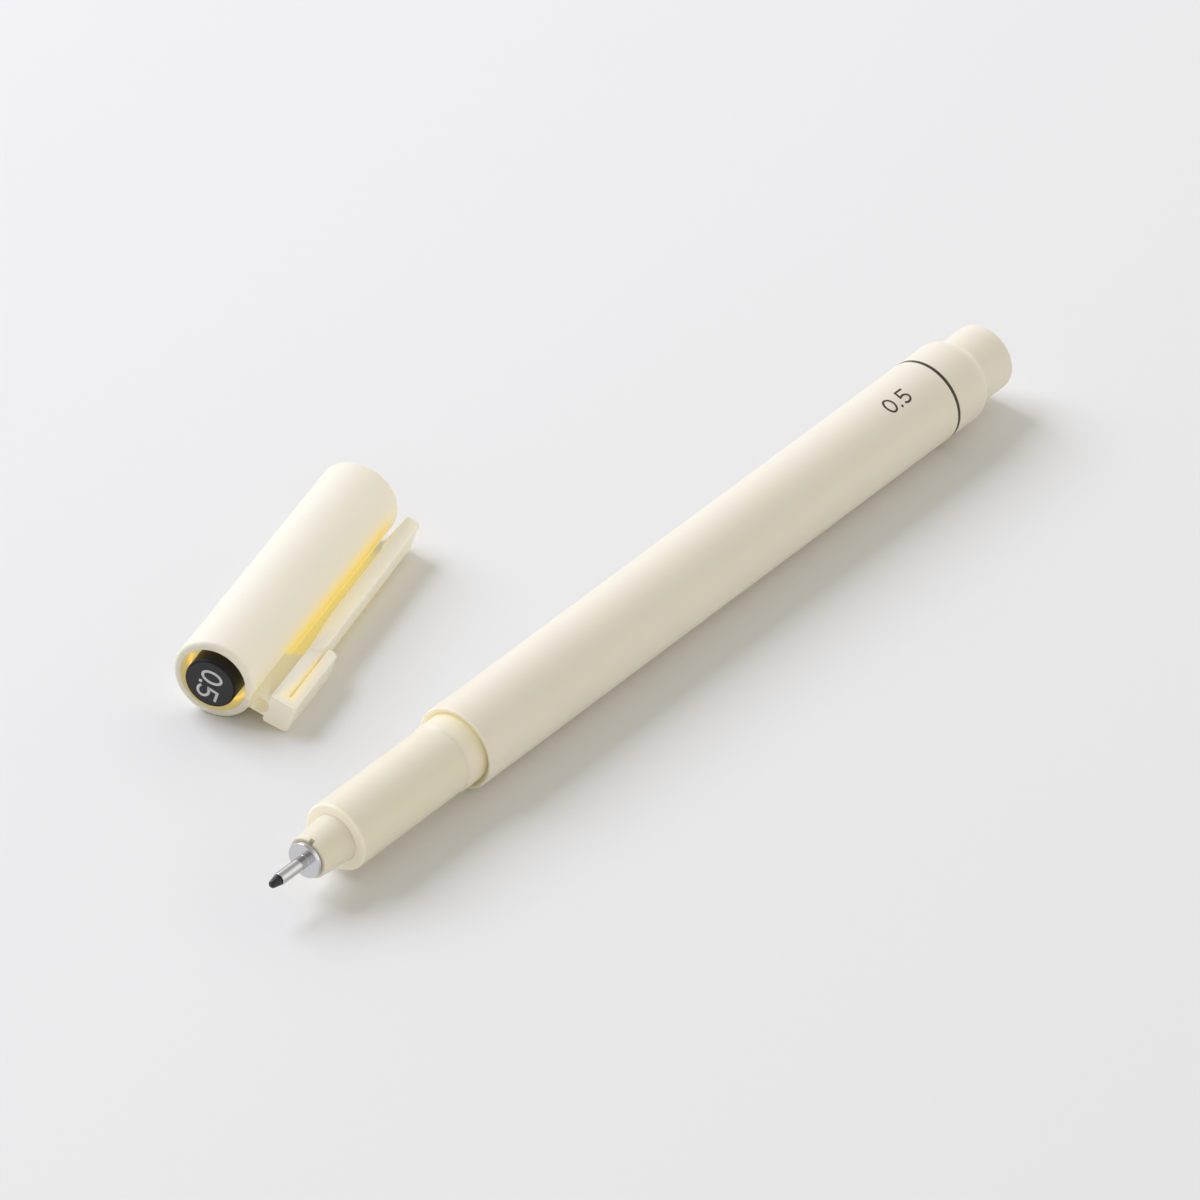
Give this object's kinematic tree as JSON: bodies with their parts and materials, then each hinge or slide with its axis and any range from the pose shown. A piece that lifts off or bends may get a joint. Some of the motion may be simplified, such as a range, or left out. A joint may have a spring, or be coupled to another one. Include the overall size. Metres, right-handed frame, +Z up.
{
  "type": "felt-tip pen",
  "caption": "Felt-tip drawing pen with a fibre nib in a steel pipe, lying uncapped beside its vented clip cap.",
  "frame": {"origin": "on the table, under the middle of the pen and cap together", "axes": "+X along the cap's axis from its closed end to its open end, +Z up from the table; the pen's tail points 14.91 degrees clockwise of +X seen from above"},
  "size_m": [0.1258, 0.064, 0.0104],
  "materials": {
    "nib_fibre": "matte, inked",
    "pipe_steel": "drawn and polished",
    "section_plastic": "satin",
    "barrel_plastic": "satin",
    "reservoir_fibre": "fibre bundle, inked",
    "reservoir_film": "clear film",
    "cap_plastic": "satin, slightly translucent",
    "inner_cap_plastic": "satin",
    "plug_plastic": "matte"
  },
  "bodies": {
    "pen": {"nib": "nib_fibre", "nib_pipe": "pipe_steel", "front_section": "section_plastic", "barrel": "barrel_plastic", "tail_plug": "barrel_plastic", "reservoir_core": "reservoir_fibre", "reservoir_film": "reservoir_film"},
    "cap": {"cap_shell": "cap_plastic", "inner_cap": "inner_cap_plastic", "cap_plug": "plug_plastic"},
    "clip": {"clip_arm": "cap_plastic"}
  },
  "joints": [
    {"name": "cap_slide", "type": "slide", "parent": "pen", "child": "cap", "axis": [1, 0, 0], "range_m": [0, 0.0312]},
    {"name": "clip_flex", "type": "hinge", "parent": "cap", "child": "clip", "pos_m": [-0.02133, 0.02003, 0.00253], "axis": [0, 0.3241, -0.946], "range_deg": [0, 3], "stiffness_Nm_per_rad": 0.4}
  ]
}
